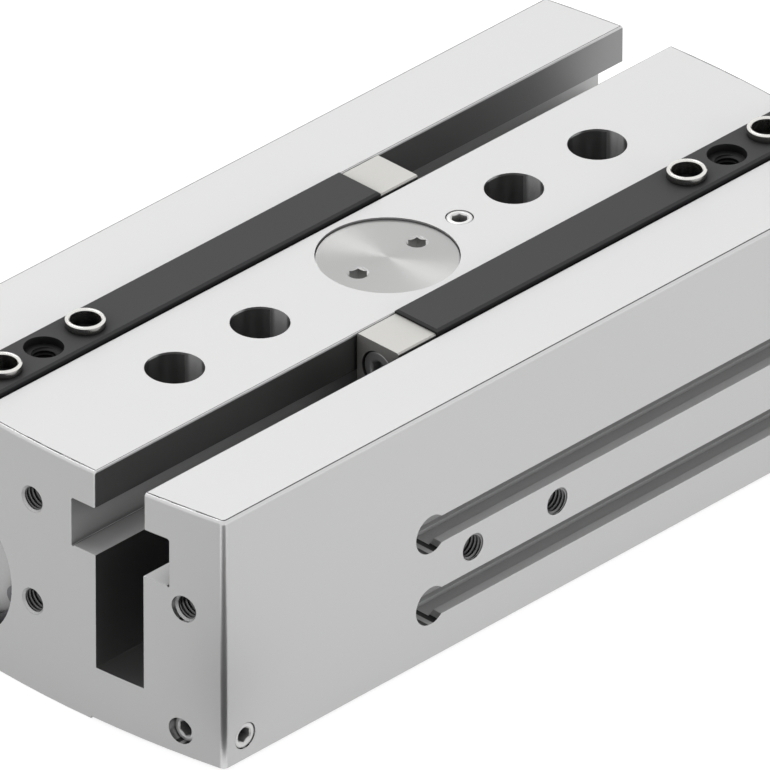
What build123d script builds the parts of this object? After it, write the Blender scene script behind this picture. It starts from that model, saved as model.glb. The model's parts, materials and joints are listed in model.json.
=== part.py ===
"""Pneumatic parallel gripper with a long stroke, in millimetres.

Two T-shaped jaws slide in opposite directions in two slots of one aluminium block. Each jaw is
pushed by its own cylinder, through a rod and a driver plate, and a pinion between the jaws meshes
with a rack in the foot of each, so that both always move by the same amount.

The origin is the centre of the underside, X runs along the stroke, +Z is up, and the jaws stand
fully open. The left jaw lies at +Y and its fingers mount at -X. Every piece of the right jaw is
the left one turned by half a turn about Z.
"""

from build123d import *
from math import acos, cos, pi, radians, sin, sqrt, tan
import os

# Rack and pinion
STROKE = 40.0
MODULE = 1.25
TEETH = 16
PRESSURE_ANGLE = 20.0
BACKLASH = 0.2
DEDENDUM_FACTOR = 1.25
FACE_WIDTH = 8.5
FLANK_POINTS = 4
SHAFT_DIAMETER = 8.0
CHAMBER_GAP = 0.45
HUB_DIAMETER = 12.0
THRUST_GAP = 0.05

# Pinion cover and bushes
COVER_MARGIN = 2.5
COVER_RECESS = 0.4
COVER_THICKNESS = 3.8
COVER_EDGE = 0.2
KEY_HOLE_RADIUS = 7.2
KEY_HOLE_HEX = 3.0
KEY_HOLE_DEPTH = 2.2
BUSH_WALL = 1.5
UPPER_BUSH_LENGTH = 3.8
LOWER_BUSH_LENGTH = 6.0
SHAFT_END_GAP = 0.5

# Jaw slots
SLOT_OPENING = 10.6
SLOT_LIP = 7.2
T_WIDTH = 21.2
T_HEIGHT = 9.3
SLIDE_CLEARANCE = 0.05
SLOT_RELIEF = 0.5
T_ROOF_RADIUS = 0.5
DRIVER_SLOT_WIDTH = 10.4
DRIVER_SLOT_FLOOR = 38.85
DRIVER_SLOT_START = 9.5

# Cylinders
BORE_DIAMETER = 25.0
BORE_ROOF = 2.5
BORE_FLOOR = 5.4
SIDE_WALL = 11.05
FRONT_WALL = 18.0
BUMPER_THICKNESS = 1.2
BUMPER_DIAMETER = 14.0
BUMPER_GAP = 0.3
ROD_DIAMETER = 8.0
ROD_PASSAGE = 0.5
RUNNING_CLEARANCE = 0.05
PRESS_GAP = 0.01

# Cylinder end caps
CAP_SHOULDER = 1.3
CAP_NOSE = 1.6
CAP_NOSE_DIAMETER = 20.0
CAP_FLANGE = 3.6
CAP_DISH_DIAMETER = 9.0
CAP_DISH = 1.0
O_RING_SECTION = 1.5
O_RING_GROOVE = 2.0
CIRCLIP_THICKNESS = 1.2
CIRCLIP_GROOVE_DEPTH = 0.7
CIRCLIP_WIDTH = 2.4
CIRCLIP_GAP_ANGLE = 32.0
CIRCLIP_LUG_RADIUS = 1.9
CIRCLIP_EYE_RADIUS = 0.9
END_LIP = 3.0

# Pistons
PISTON_LENGTH = 14.0
PISTON_CLEARANCE = 0.2
PISTON_LAND = 0.7
SEAL_WIDTH = 2.8
SEAL_DEPTH = 3.0
SEAL_LIP = 0.6
GUIDE_RING_DEPTH = 1.2
MAGNET_DEPTH = 2.7
STUB_DIAMETER = 5.0
NUT_HEX = 8.0
NUT_HEIGHT = 3.0
NUT_POCKET = 9.8

# Rod guides
GUIDE_DIAMETER = 16.0
GUIDE_LENGTH = 21.2
GUIDE_FLANGE = 2.0
AIR_GROOVE_WIDTH = 3.2
AIR_GROOVE_DEPTH = 1.2
GUIDE_FLANGE_WALL = 0.8
SEAL_POCKET = 4.3

# Housing block
END_CROWN_RADIUS = 202.0
CORNER_RADIUS = 1.15
TOP_EDGE_RADIUS = 0.7
SLOT_EDGE_RADIUS = 0.3
LAND_WIDTH = 26.0
LAND_HEIGHT = 0.4

# Mounting holes
HOLE_INNER_SPACING = 62.0
HOLE_OUTER_SPACING = 103.2
HOLE_DIAMETER = 6.6
COUNTERBORE_DIAMETER = 10.4
COUNTERBORE_DEPTH = 17.0

# M5 threads, at their major diameter
THREAD_DIAMETER = 5.0
THREAD_DEPTH = 9.0
PORT_EDGE = 0.3
OVERSHOOT = 1.0
PORT_OFFSET = 0.35
PORT_SPACING = 20.6
END_THREAD_OFFSET = 0.45
END_THREAD_DROP = 11.5
END_THREAD_PITCH = 20.3
CORNER_THREAD_Y = 32.9
CORNER_THREAD_DROP = 19.9

# Air ducts and their plugs
DUCT_DIAMETER = 3.0
DUCT_INSET = 8.8
DUCT_HEIGHT = 5.0
DUCT_TO_CAP = 0.4
PLUG_DIAMETER = 4.9
PLUG_CLEARANCE = 0.02
PLUG_LENGTH = 5.0
PLUG_HEX = 2.5
PLUG_HEX_DEPTH = 2.5
END_PLUG_SINK = 1.0
SIDE_PLUG_SINK = 0.15
TOP_PLUG_X = 17.6

# Sensor slots
SENSOR_SLOT_WIDTH = 5.3
SENSOR_SLOT_DEPTH = 6.0
SENSOR_T_WIDTH = 6.8
SENSOR_T_START = 1.9
SENSOR_T_END = 5.0
SENSOR_ENTRY_DIAMETER = 7.3
SENSOR_SLOT_START = 31.3
SENSOR_SLOT_OFFSET = 7.125

# Jaws
NECK_WIDTH = 10.0
JAW_PROUD = 1.0
JAW_INNER_END = 13.0
JAW_END_INSET = 0.8
JAW_EDGE = 0.4
FOOT_EDGE = 0.6
FINGER_PITCH = 10.0
FINGER_HOLES = 3
SLEEVE_DIAMETER = 7.0
SLEEVE_BORE = 5.4
SLEEVE_LENGTH = 3.0
SLEEVE_SEAT = 1.5
SLEEVE_CLEARANCE = 0.02
SLEEVE_EDGE = 0.25

# Drivers and their screws
DRIVER_WIDTH = 9.8
DRIVER_THICKNESS = 9.2
DRIVER_PROUD = 0.3
DRIVER_FLOOR_GAP = 0.65
DRIVER_EDGE = 0.25
SCREW_DIAMETER = 4.0
SCREW_HEAD_DIAMETER = 7.0
SCREW_HEAD_HEIGHT = 4.0
SCREW_SINK = 4.2
SCREW_HEX = 3.0
SCREW_HEX_DEPTH = 2.0
SCREW_GRIP = 8.0
SCREW_CLEARANCE = 0.2
UPPER_SCREW_DROP = 5.2
SCREW_PITCH = 7.6

# Places that follow from the sizes above
PITCH_RADIUS = MODULE * TEETH / 2
TIP_RADIUS = PITCH_RADIUS + MODULE
ROOT_RADIUS = PITCH_RADIUS - DEDENDUM_FACTOR * MODULE
TOOTH_PITCH = pi * MODULE
TOOTH_THICKNESS = (TOOTH_PITCH - BACKLASH) / 2
JAW_OFFSET = PITCH_RADIUS - MODULE + T_WIDTH / 2
HALF_WIDTH = JAW_OFFSET + T_WIDTH / 2 + SIDE_WALL
BORE_RADIUS = BORE_DIAMETER / 2
TOP = SLOT_LIP + T_HEIGHT + BORE_ROOF + BORE_DIAMETER + BORE_FLOOR
T_ROOF = TOP - SLOT_LIP
T_FLOOR = T_ROOF - T_HEIGHT
AXIS_Z = BORE_FLOOR + BORE_RADIUS
PISTON_FRONT = FRONT_WALL + BUMPER_THICKNESS + BUMPER_GAP + STROKE
PISTON_REAR = PISTON_FRONT + PISTON_LENGTH
CAP_FACE = PISTON_REAR + BUMPER_GAP + BUMPER_THICKNESS
CAP_SEAT = CAP_FACE + CAP_NOSE
CAP_BACK = CAP_SEAT + CAP_FLANGE
CIRCLIP_BACK = CAP_BACK + CIRCLIP_THICKNESS
END_AT_JAW = CIRCLIP_BACK + END_LIP
CROWN_CENTRE = END_AT_JAW - sqrt(END_CROWN_RADIUS**2 - JAW_OFFSET**2)
HALF_LENGTH = CROWN_CENTRE + END_CROWN_RADIUS
CAP_RADIUS = BORE_RADIUS + CAP_SHOULDER
GUIDE_END = GUIDE_LENGTH - FRONT_WALL
GUIDE_FLANGE_DIAMETER = GUIDE_DIAMETER + 2 * (AIR_GROOVE_DEPTH + GUIDE_FLANGE_WALL)
SEAL_END = GUIDE_END + SEAL_POCKET
COVER_RADIUS = TIP_RADIUS + COVER_MARGIN / 2
COVER_TOP = TOP - COVER_RECESS
COVER_SEAT = COVER_TOP - COVER_THICKNESS
HUB_TOP = T_ROOF - THRUST_GAP
HUB_BOTTOM = T_FLOOR + THRUST_GAP
SHAFT_RADIUS = SHAFT_DIAMETER / 2
BUSH_RADIUS = SHAFT_RADIUS + BUSH_WALL
DUCT_Y = HALF_WIDTH - DUCT_INSET
CROSS_DUCT_X = CAP_SEAT - DUCT_TO_CAP
JAW_TOP = TOP + JAW_PROUD
JAW_OUTER_END = END_AT_JAW - JAW_END_INSET
FOOT_WIDTH = T_WIDTH - 2 * SLIDE_CLEARANCE
DRIVER_OUTER = JAW_INNER_END + DRIVER_THICKNESS
DRIVER_TOP = TOP + DRIVER_PROUD
DRIVER_BOTTOM = TOP - DRIVER_SLOT_FLOOR + DRIVER_FLOOR_GAP
FINGER_X = [FINGER_PITCH * (i + 1) - JAW_OUTER_END for i in range(FINGER_HOLES)]
SCREW_Z = [TOP - UPPER_SCREW_DROP - SCREW_PITCH * i for i in range(2)]

CYLINDER_AXIS = Axis((0, JAW_OFFSET, AXIS_Z), (1, 0, 0))
CYLINDER_PLANE = Plane(origin=(0, JAW_OFFSET, AXIS_Z), x_dir=(1, 0, 0), z_dir=(0, -1, 0))
FRONT_FACE = Plane(origin=(0, -HALF_WIDTH, 0), x_dir=(1, 0, 0), z_dir=(0, -1, 0))
REAR_FACE = Plane(origin=(0, HALF_WIDTH, 0), x_dir=(-1, 0, 0), z_dir=(0, 1, 0))
UNDERSIDE = Plane(origin=(0, 0, LAND_HEIGHT), x_dir=(1, 0, 0), z_dir=(0, 0, -1))


def crown_x(y):
    """How far the crowned end face reaches along X at a given Y."""
    return CROWN_CENTRE + sqrt(END_CROWN_RADIUS**2 - y**2)


def end_face(y):
    """A plane on the left end face at a given Y, looking out of the block, with Z as its y."""
    return Plane(origin=(-crown_x(y), y, 0), x_dir=(0, -1, 0), z_dir=(-1, 0, 0))


def hex_radius(flats):
    """The corner radius of a hexagon that measures this across its flats."""
    return flats / 2 / cos(radians(30))


def turned(start, end, outer, inner=0.0):
    """A plain turned ring or disc on the left cylinder's axis, between two places along X."""
    with BuildPart() as ring:
        with BuildSketch(CYLINDER_PLANE):
            with Locations(((start + end) / 2, (outer + inner) / 2)):
                Rectangle(end - start, outer - inner)
        revolve(axis=CYLINDER_AXIS)
    return ring.part


def drilled(plane, points, diameter, depth, edge=0.0):
    """Blind holes to cut, going into a face, and far enough out of it to clear its crown. Their
    mouths are bevelled by the size of edge."""
    with BuildPart() as holes:
        with BuildSketch(plane.offset(OVERSHOOT)):
            with Locations(*points):
                Circle(diameter / 2)
        extrude(amount=-depth - OVERSHOOT)
        if edge:
            with BuildSketch(plane):
                with Locations(*points):
                    Circle(diameter / 2 + edge)
            extrude(amount=-edge, taper=45)
    return holes.part


def both_ways(piece):
    """The same piece at both places, as it stands and turned by half a turn about Z."""
    with BuildPart() as pair:
        add(piece)
        add(piece, rotation=(0, 0, 180))
    return pair.part


# What is cut from the housing


def jaw_slot():
    """The left jaw's T-slot, right through, with relieved corners in its floor and round ones in its
    roof, and the deep slot for the driver below it, which starts behind the front wall."""
    with BuildPart() as slot:
        with BuildSketch(Plane.YZ.offset(-HALF_LENGTH)):
            with Locations((JAW_OFFSET, TOP - SLOT_LIP / 2)):
                Rectangle(SLOT_OPENING, SLOT_LIP)
        extrude(amount=2 * HALF_LENGTH)
        with BuildSketch(Plane.YZ.offset(-HALF_LENGTH)) as undercut:
            with Locations((JAW_OFFSET, T_FLOOR + T_HEIGHT / 2)):
                Rectangle(T_WIDTH, T_HEIGHT)
            fillet(undercut.vertices().group_by(Axis.Y)[-1], T_ROOF_RADIUS)
            with Locations((JAW_OFFSET, T_FLOOR)):
                with GridLocations(T_WIDTH - SLOT_RELIEF, 0, 2, 1):
                    Circle(SLOT_RELIEF / 2)
        extrude(amount=2 * HALF_LENGTH)
        with BuildSketch(Plane.YZ.offset(DRIVER_SLOT_START)):
            with Locations((JAW_OFFSET, TOP - DRIVER_SLOT_FLOOR / 2)):
                Rectangle(DRIVER_SLOT_WIDTH, DRIVER_SLOT_FLOOR)
        extrude(amount=HALF_LENGTH)
    return slot.part


def cylinder_bore():
    """The left cylinder: cap seat, circlip groove, bore, guide seat, seal pocket and rod hole."""
    steps = (
        (-HALF_LENGTH, -CAP_SEAT, CAP_RADIUS),
        (-CIRCLIP_BACK, -CAP_BACK, CAP_RADIUS + CIRCLIP_GROOVE_DEPTH),
        (-CAP_SEAT, -FRONT_WALL, BORE_RADIUS),
        (-FRONT_WALL, GUIDE_FLANGE - FRONT_WALL, GUIDE_FLANGE_DIAMETER / 2 + PRESS_GAP),
        (-FRONT_WALL, SEAL_END, GUIDE_DIAMETER / 2 + PRESS_GAP),
        (SEAL_END, DRIVER_SLOT_START, ROD_DIAMETER / 2 + ROD_PASSAGE),
    )
    with BuildPart() as bore:
        for start, end, radius in steps:
            add(turned(start, end, radius))
    return bore.part


def sensor_slots():
    """Two T-slots in the rear face for the left cylinder's position sensors. Each starts at a
    round entry and runs out through the left end."""
    heights = (AXIS_Z + SENSOR_SLOT_OFFSET, AXIS_Z - SENSOR_SLOT_OFFSET)
    run = HALF_LENGTH + SENSOR_SLOT_START
    middles = [((HALF_LENGTH - SENSOR_SLOT_START) / 2, z) for z in heights]
    entries = [(-SENSOR_SLOT_START, z) for z in heights]
    with BuildPart() as slots:
        with BuildSketch(REAR_FACE):
            with Locations(*middles):
                Rectangle(run, SENSOR_SLOT_WIDTH)
        extrude(amount=-SENSOR_SLOT_DEPTH)
        with BuildSketch(REAR_FACE.offset(-SENSOR_T_START)):
            with Locations(*middles):
                Rectangle(run, SENSOR_T_WIDTH)
        extrude(amount=SENSOR_T_START - SENSOR_T_END)
        with BuildSketch(REAR_FACE):
            with Locations(*entries):
                Circle(SENSOR_ENTRY_DIAMETER / 2)
        extrude(amount=-SENSOR_T_END)
    return slots.part


def threads_and_ducts():
    """The air paths and thread holes of the front face and the left end. The inner port feeds the
    right rod guide. The outer one feeds the left rear chamber by the long and the cross duct."""
    inner_port = (-PORT_OFFSET, AXIS_Z)
    outer_port = (-PORT_OFFSET - PORT_SPACING, AXIS_Z)
    plug_seat = PLUG_DIAMETER + 2 * PLUG_CLEARANCE
    long_duct = crown_x(DUCT_Y) + outer_port[0] + DUCT_DIAMETER / 2
    upper_thread = TOP - END_THREAD_DROP
    centre_threads = [(0, upper_thread), (0, upper_thread - END_THREAD_PITCH)]
    corner_thread = [(0, TOP - CORNER_THREAD_DROP)]
    to_guide = HALF_WIDTH - JAW_OFFSET - GUIDE_DIAMETER / 2 + AIR_GROOVE_DEPTH
    cuts = (
        (FRONT_FACE, [inner_port, outer_port], THREAD_DIAMETER, THREAD_DEPTH, PORT_EDGE),
        (FRONT_FACE, [inner_port], DUCT_DIAMETER, to_guide),
        (UNDERSIDE, [(outer_port[0], DUCT_Y)], DUCT_DIAMETER, AXIS_Z - LAND_HEIGHT),
        (UNDERSIDE, [(outer_port[0], DUCT_Y)], plug_seat, PLUG_LENGTH + SIDE_PLUG_SINK),
        (end_face(-DUCT_Y), [(0, DUCT_HEIGHT)], DUCT_DIAMETER, long_duct),
        (end_face(-DUCT_Y), [(0, DUCT_HEIGHT)], plug_seat, PLUG_LENGTH + END_PLUG_SINK),
        (FRONT_FACE, [(-CROSS_DUCT_X, DUCT_HEIGHT)], DUCT_DIAMETER, HALF_WIDTH + JAW_OFFSET),
        (FRONT_FACE, [(-CROSS_DUCT_X, DUCT_HEIGHT)], plug_seat, PLUG_LENGTH + SIDE_PLUG_SINK),
        (end_face(END_THREAD_OFFSET), centre_threads, THREAD_DIAMETER, THREAD_DEPTH),
        (end_face(-CORNER_THREAD_Y), corner_thread, THREAD_DIAMETER, THREAD_DEPTH),
    )
    with BuildPart() as holes:
        for cut in cuts:
            add(drilled(*cut))
    return holes.part


def pinion_chamber():
    """The pinion's room in the middle: cover seat, chamber, lower bush seat and shaft end."""
    steps = (
        (COVER_SEAT, TOP, COVER_RADIUS),
        (T_FLOOR, COVER_SEAT, TIP_RADIUS + CHAMBER_GAP),
        (T_FLOOR - LOWER_BUSH_LENGTH, T_FLOOR, BUSH_RADIUS + PRESS_GAP),
        (T_FLOOR - LOWER_BUSH_LENGTH - 2 * SHAFT_END_GAP, T_FLOOR, SHAFT_RADIUS + ROD_PASSAGE),
    )
    with BuildPart() as chamber:
        for low, high, radius in steps:
            with BuildSketch(Plane.XY.offset(low)):
                Circle(radius)
            extrude(amount=high - low)
    return chamber.part


def top_duct():
    """The seat of the plug beside the cover, and the slanted duct from it to the right cylinder."""
    start = Vector(TOP_PLUG_X, 0, TOP - PLUG_LENGTH)
    drop = SLOT_LIP + T_HEIGHT + BORE_ROOF + BORE_RADIUS / 3
    end = Vector(FRONT_WALL + DUCT_DIAMETER / 2, -JAW_OFFSET / 2, TOP - drop)
    plug_seat = PLUG_DIAMETER + 2 * PLUG_CLEARANCE
    with BuildPart() as duct:
        add(drilled(Plane.XY.offset(TOP), [(TOP_PLUG_X, 0)], plug_seat, PLUG_LENGTH))
        with BuildSketch(Plane(origin=start, z_dir=end - start)):
            Circle(DUCT_DIAMETER / 2)
        extrude(amount=(end - start).length)
    return duct.part


def mounting_holes():
    """Four counterbored through holes on the centre line, as two pairs."""
    offsets = (HOLE_INNER_SPACING / 2, HOLE_OUTER_SPACING / 2)
    with BuildPart() as holes:
        with BuildSketch():
            for x in offsets:
                with GridLocations(2 * x, 0, 2, 1):
                    Circle(HOLE_DIAMETER / 2)
        extrude(amount=TOP)
        with BuildSketch(Plane.XY.offset(TOP - COUNTERBORE_DEPTH)):
            for x in offsets:
                with GridLocations(2 * x, 0, 2, 1):
                    Circle(COUNTERBORE_DIAMETER / 2)
        extrude(amount=COUNTERBORE_DEPTH)
    return holes.part


def make_housing():
    """The block: crowned ends, a raised land below, and everything that is cut into it."""
    corner_x = crown_x(HALF_WIDTH)
    with BuildPart() as housing:
        with BuildSketch():
            with BuildLine():
                front = Line((-corner_x, -HALF_WIDTH), (corner_x, -HALF_WIDTH))
                right = ThreePointArc(front @ 1, (HALF_LENGTH, 0), (corner_x, HALF_WIDTH))
                rear = Line(right @ 1, (-corner_x, HALF_WIDTH))
                ThreePointArc(rear @ 1, (-HALF_LENGTH, 0), front @ 0)
            make_face()
        extrude(amount=TOP)
        fillet(housing.edges().filter_by(Axis.Z), CORNER_RADIUS)
        fillet(housing.faces().sort_by(Axis.Z)[-1].edges(), TOP_EDGE_RADIUS)
        step = HALF_WIDTH - LAND_WIDTH / 2
        with BuildSketch():
            with GridLocations(0, LAND_WIDTH + step, 1, 2):
                Rectangle(2 * HALF_LENGTH, step)
        extrude(amount=LAND_HEIGHT, mode=Mode.SUBTRACT)
        for cut in (jaw_slot(), cylinder_bore(), sensor_slots(), threads_and_ducts()):
            add(both_ways(cut), mode=Mode.SUBTRACT)
        for cut in (pinion_chamber(), top_duct(), mounting_holes()):
            add(cut, mode=Mode.SUBTRACT)
        rims = housing.edges().filter_by(Axis.X).filter_by_position(Axis.Z, TOP - 0.01, TOP + 0.01)
        reach = JAW_OFFSET + SLOT_OPENING / 2 + 0.01
        fillet(rims.filter_by_position(Axis.Y, -reach, reach), SLOT_EDGE_RADIUS)
    return housing.part


# Rack and pinion


def involute(angle):
    """The involute function of an angle in radians."""
    return tan(angle) - angle


def flank_point(radius):
    """The point at this radius on one flank of the pinion tooth that stands on the X axis."""
    base = PITCH_RADIUS * cos(radians(PRESSURE_ANGLE))
    half = TOOTH_THICKNESS / 2 / PITCH_RADIUS + involute(radians(PRESSURE_ANGLE))
    if radius > base:
        half -= involute(acos(base / radius))
    return radius * cos(half), radius * sin(half)


def make_pinion():
    """The pinion, with involute teeth and a hub that runs between the two bushes."""
    base = PITCH_RADIUS * cos(radians(PRESSURE_ANGLE))
    radii = [base + (TIP_RADIUS - base) * i / (FLANK_POINTS - 1) for i in range(FLANK_POINTS)]
    upper = [flank_point(r) for r in radii]
    lower = [(x, -y) for x, y in upper]
    foot = flank_point(ROOT_RADIUS - MODULE / 4)
    with BuildSketch() as tooth:
        with BuildLine():
            Line((foot[0], -foot[1]), lower[0])
            Spline(*lower)
            ThreePointArc(lower[-1], (TIP_RADIUS, 0), upper[-1])
            Spline(*reversed(upper))
            Line(upper[0], foot)
            Line(foot, (foot[0], -foot[1]))
        make_face()
    gear_bottom = T_FLOOR + (T_HEIGHT - FACE_WIDTH) / 2
    with BuildPart() as pinion:
        with BuildSketch(Plane.XY.offset(gear_bottom)):
            Circle(ROOT_RADIUS)
            with PolarLocations(0, TEETH):
                add(tooth.sketch)
        extrude(amount=FACE_WIDTH)
        with BuildSketch(Plane.XY.offset(HUB_BOTTOM)):
            Circle(HUB_DIAMETER / 2)
        extrude(amount=HUB_TOP - HUB_BOTTOM)
        with BuildSketch(Plane.XY.offset(HUB_BOTTOM)):
            Circle(SHAFT_RADIUS + PRESS_GAP)
        extrude(amount=HUB_TOP - HUB_BOTTOM, mode=Mode.SUBTRACT)
    return pinion.part


def make_shaft():
    """The pinion's shaft, pressed into it and running in the two bushes."""
    low = T_FLOOR - LOWER_BUSH_LENGTH - SHAFT_END_GAP
    high = T_ROOF + UPPER_BUSH_LENGTH - SHAFT_END_GAP
    with BuildPart() as shaft:
        with BuildSketch(Plane.XY.offset(low)):
            Circle(SHAFT_RADIUS)
        extrude(amount=high - low)
        chamfer(shaft.edges().filter_by(GeomType.CIRCLE), SHAFT_END_GAP / 2)
    return shaft.part


def make_bush(bottom, length):
    """A plain bush for the pinion shaft."""
    with BuildPart() as bush:
        with BuildSketch(Plane.XY.offset(bottom)):
            Circle(BUSH_RADIUS)
            Circle(SHAFT_RADIUS + RUNNING_CLEARANCE, mode=Mode.SUBTRACT)
        extrude(amount=length)
    return bush.part


def make_cover():
    """The turned cover with two hexagonal key holes, and the upper bush's hub under it."""
    hub_bottom = T_ROOF
    with BuildPart() as cover:
        with BuildSketch(Plane.XY.offset(COVER_SEAT)):
            Circle(COVER_RADIUS - RUNNING_CLEARANCE)
        extrude(amount=COVER_THICKNESS)
        chamfer(cover.faces().sort_by(Axis.Z)[-1].edges(), COVER_EDGE)
        with BuildSketch(Plane.XY.offset(hub_bottom)):
            Circle(HUB_DIAMETER / 2 + BUSH_WALL)
        extrude(amount=COVER_SEAT - hub_bottom)
        with BuildSketch(Plane.XY.offset(hub_bottom)):
            Circle(BUSH_RADIUS + PRESS_GAP)
        extrude(amount=UPPER_BUSH_LENGTH, mode=Mode.SUBTRACT)
        with BuildSketch(Plane.XY.offset(COVER_TOP)):
            with PolarLocations(KEY_HOLE_RADIUS, 2):
                RegularPolygon(hex_radius(KEY_HOLE_HEX), 6)
        extrude(amount=-KEY_HOLE_DEPTH, mode=Mode.SUBTRACT)
    return cover.part


def rack_space():
    """One space of the rack: the straight-sided gap that a pinion tooth enters."""
    slope = tan(radians(PRESSURE_ANGLE))
    root = PITCH_RADIUS + DEDENDUM_FACTOR * MODULE
    mouth = PITCH_RADIUS - 2 * MODULE
    gap = TOOTH_PITCH - TOOTH_THICKNESS
    at_mouth = gap / 2 + (PITCH_RADIUS - mouth) * slope
    at_root = gap / 2 - (root - PITCH_RADIUS) * slope
    with BuildSketch() as space:
        with BuildLine():
            Polyline((-at_mouth, mouth), (at_mouth, mouth), (at_root, root), (-at_root, root), close=True)
        make_face()
    return space.sketch


def make_jaw():
    """The left jaw: a T-shaped slide, the rack in the inner side of its foot, three finger holes
    with sleeve seats, and two screw holes in its inner end for the driver."""
    foot_bottom = T_FLOOR + SLIDE_CLEARANCE
    foot_height = T_HEIGHT - 2 * SLIDE_CLEARANCE
    last_space = int((STROKE + TIP_RADIUS) / TOOTH_PITCH) + 1
    spaces = [(-TOOTH_PITCH * i, 0) for i in range(-2, last_space)]
    seat = [(x, JAW_OFFSET) for x in FINGER_X]
    with BuildPart() as jaw:
        with BuildSketch(Plane.YZ.offset(-JAW_OUTER_END)):
            with Locations((JAW_OFFSET, (JAW_TOP + foot_bottom) / 2)):
                Rectangle(NECK_WIDTH, JAW_TOP - foot_bottom)
            with Locations((JAW_OFFSET, foot_bottom + foot_height / 2)):
                Rectangle(FOOT_WIDTH, foot_height)
        extrude(amount=JAW_OUTER_END + JAW_INNER_END)
        chamfer(jaw.faces().sort_by(Axis.Z)[-1].edges(), JAW_EDGE)
        foot_top = foot_bottom + foot_height
        shoulders = jaw.edges().filter_by(Axis.X).filter_by_position(Axis.Z, foot_top - 0.01, foot_top + 0.01)
        chamfer(shoulders.group_by(Axis.Y)[0] + shoulders.group_by(Axis.Y)[-1], FOOT_EDGE)
        with BuildSketch(Plane.XY.offset(T_FLOOR)):
            with Locations(*spaces):
                add(rack_space())
        extrude(amount=T_HEIGHT, mode=Mode.SUBTRACT)
        top = Plane.XY.offset(JAW_TOP)
        add(drilled(top, seat, SLEEVE_DIAMETER + 2 * SLEEVE_CLEARANCE, SLEEVE_SEAT), mode=Mode.SUBTRACT)
        add(drilled(top, seat, THREAD_DIAMETER, SLEEVE_SEAT + THREAD_DEPTH), mode=Mode.SUBTRACT)
        inner_end = Plane(origin=(JAW_INNER_END, JAW_OFFSET, 0), x_dir=(0, 1, 0), z_dir=(1, 0, 0))
        screws = [(0, z) for z in SCREW_Z]
        add(drilled(inner_end, screws, SCREW_DIAMETER, SCREW_GRIP + BUMPER_GAP), mode=Mode.SUBTRACT)
    return jaw.part


def make_sleeves():
    """The two centring sleeves, in the first and last finger holes."""
    with BuildPart() as sleeves:
        with BuildSketch(Plane.XY.offset(JAW_TOP - SLEEVE_SEAT)):
            with Locations((FINGER_X[0], JAW_OFFSET), (FINGER_X[-1], JAW_OFFSET)):
                Circle(SLEEVE_DIAMETER / 2)
                Circle(SLEEVE_BORE / 2, mode=Mode.SUBTRACT)
        extrude(amount=SLEEVE_LENGTH)
        chamfer(sleeves.edges().group_by(Axis.Z)[-1], SLEEVE_EDGE)
    return sleeves.part


# Drivers


def driver_plane():
    """The driver's free face, where its screws go in."""
    return Plane(origin=(DRIVER_OUTER, JAW_OFFSET, 0), x_dir=(0, 1, 0), z_dir=(1, 0, 0))


def make_driver():
    """The left driver: a steel plate in the deep slot, screwed to the jaw above and to the rod."""
    face = driver_plane()
    screws = [(0, z) for z in SCREW_Z]
    head_hole = SCREW_HEAD_DIAMETER + 2 * SCREW_CLEARANCE
    shank_hole = SCREW_DIAMETER + 2 * SCREW_CLEARANCE
    with BuildPart() as driver:
        with BuildSketch(face):
            with Locations((0, (DRIVER_TOP + DRIVER_BOTTOM) / 2)):
                Rectangle(DRIVER_WIDTH, DRIVER_TOP - DRIVER_BOTTOM)
        extrude(amount=-DRIVER_THICKNESS)
        chamfer(driver.edges().filter_by(Axis.X), DRIVER_EDGE)
        add(drilled(face, screws, head_hole, SCREW_SINK), mode=Mode.SUBTRACT)
        add(drilled(face, screws, shank_hole, DRIVER_THICKNESS), mode=Mode.SUBTRACT)
        rod_hole = STUB_DIAMETER + 2 * PRESS_GAP
        add(drilled(face, [(0, AXIS_Z)], rod_hole, DRIVER_THICKNESS), mode=Mode.SUBTRACT)
    return driver.part


def make_driver_screws():
    """Two cap screws through the driver into the jaw's inner end."""
    face = driver_plane().offset(SCREW_HEAD_HEIGHT - SCREW_SINK)
    places = [(0, z) for z in SCREW_Z]
    shank = DRIVER_THICKNESS - SCREW_SINK + SCREW_GRIP
    with BuildPart() as screws:
        with BuildSketch(face):
            with Locations(*places):
                Circle(SCREW_HEAD_DIAMETER / 2)
        extrude(amount=-SCREW_HEAD_HEIGHT)
        chamfer(screws.edges().group_by(Axis.X)[-1], SCREW_CLEARANCE)
        with BuildSketch(face.offset(-SCREW_HEAD_HEIGHT)):
            with Locations(*places):
                Circle(SCREW_DIAMETER / 2 - PRESS_GAP)
        extrude(amount=-shank)
        with BuildSketch(face):
            with Locations(*places):
                RegularPolygon(hex_radius(SCREW_HEX), 6)
        extrude(amount=-SCREW_HEX_DEPTH, mode=Mode.SUBTRACT)
    return screws.part


# Cylinder pieces


def groove_starts():
    """Where the piston's grooves start, measured back from its front face: front seal, guide
    ring, magnet and rear seal."""
    ring = ring_width()
    front_seal = PISTON_LAND
    guide = front_seal + SEAL_WIDTH + PISTON_LAND
    magnet = guide + ring + PISTON_LAND
    rear_seal = magnet + ring + PISTON_LAND
    return front_seal, guide, magnet, rear_seal


def ring_width():
    """The width of the guide ring and of the magnet, which share what the seals leave."""
    return (PISTON_LENGTH - 2 * SEAL_WIDTH - 5 * PISTON_LAND) / 2


def piston_ring(start, width, outer, inner):
    """A ring on the piston, from a place measured back from its front face."""
    front = -PISTON_FRONT - start
    return turned(front - width, front, outer, inner)


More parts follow.
